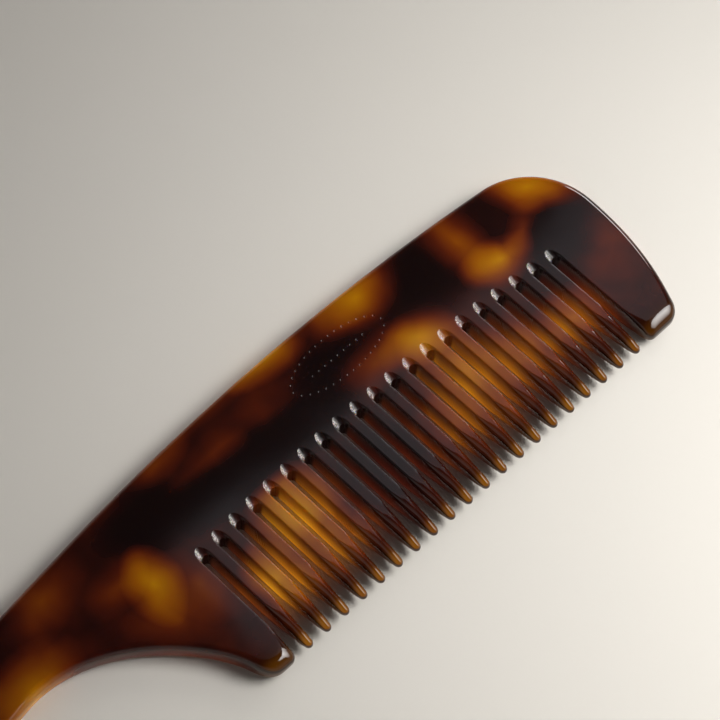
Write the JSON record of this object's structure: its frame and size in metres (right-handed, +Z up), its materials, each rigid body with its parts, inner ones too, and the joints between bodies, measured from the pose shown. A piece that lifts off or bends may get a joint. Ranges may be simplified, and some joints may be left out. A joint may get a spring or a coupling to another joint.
{
  "type": "hair comb",
  "caption": "Flat handled rake comb in polished tortoiseshell acetate, with pointed saw-cut teeth, blunt guard teeth at both ends and a finger fillet under the handle.",
  "frame": {"origin": "under the middle of the comb's outline, on the face that it lies on", "axes": "+X runs from the handle to the free end, +Y from the tooth tips to the plain back edge, +Z up through the sheet's thickness"},
  "size_m": [0.1932, 0.0432, 0.0044],
  "materials": {
    "tortoiseshell_acetate": "polished and translucent, amber clouds in dark red-brown"
  },
  "bodies": {
    "root": {"handle": "tortoiseshell_acetate", "back": "tortoiseshell_acetate", "guard_tooth_handle_end": "tortoiseshell_acetate", "guard_tooth_free_end": "tortoiseshell_acetate", "tooth_01": "tortoiseshell_acetate", "tooth_02": "tortoiseshell_acetate", "tooth_03": "tortoiseshell_acetate", "tooth_04": "tortoiseshell_acetate", "tooth_05": "tortoiseshell_acetate", "tooth_06": "tortoiseshell_acetate", "tooth_07": "tortoiseshell_acetate", "tooth_08": "tortoiseshell_acetate", "tooth_09": "tortoiseshell_acetate", "tooth_10": "tortoiseshell_acetate", "tooth_11": "tortoiseshell_acetate", "tooth_12": "tortoiseshell_acetate", "tooth_13": "tortoiseshell_acetate", "tooth_14": "tortoiseshell_acetate", "tooth_15": "tortoiseshell_acetate", "tooth_16": "tortoiseshell_acetate", "tooth_17": "tortoiseshell_acetate", "tooth_18": "tortoiseshell_acetate", "tooth_19": "tortoiseshell_acetate", "tooth_20": "tortoiseshell_acetate"}
  },
  "joints": []
}
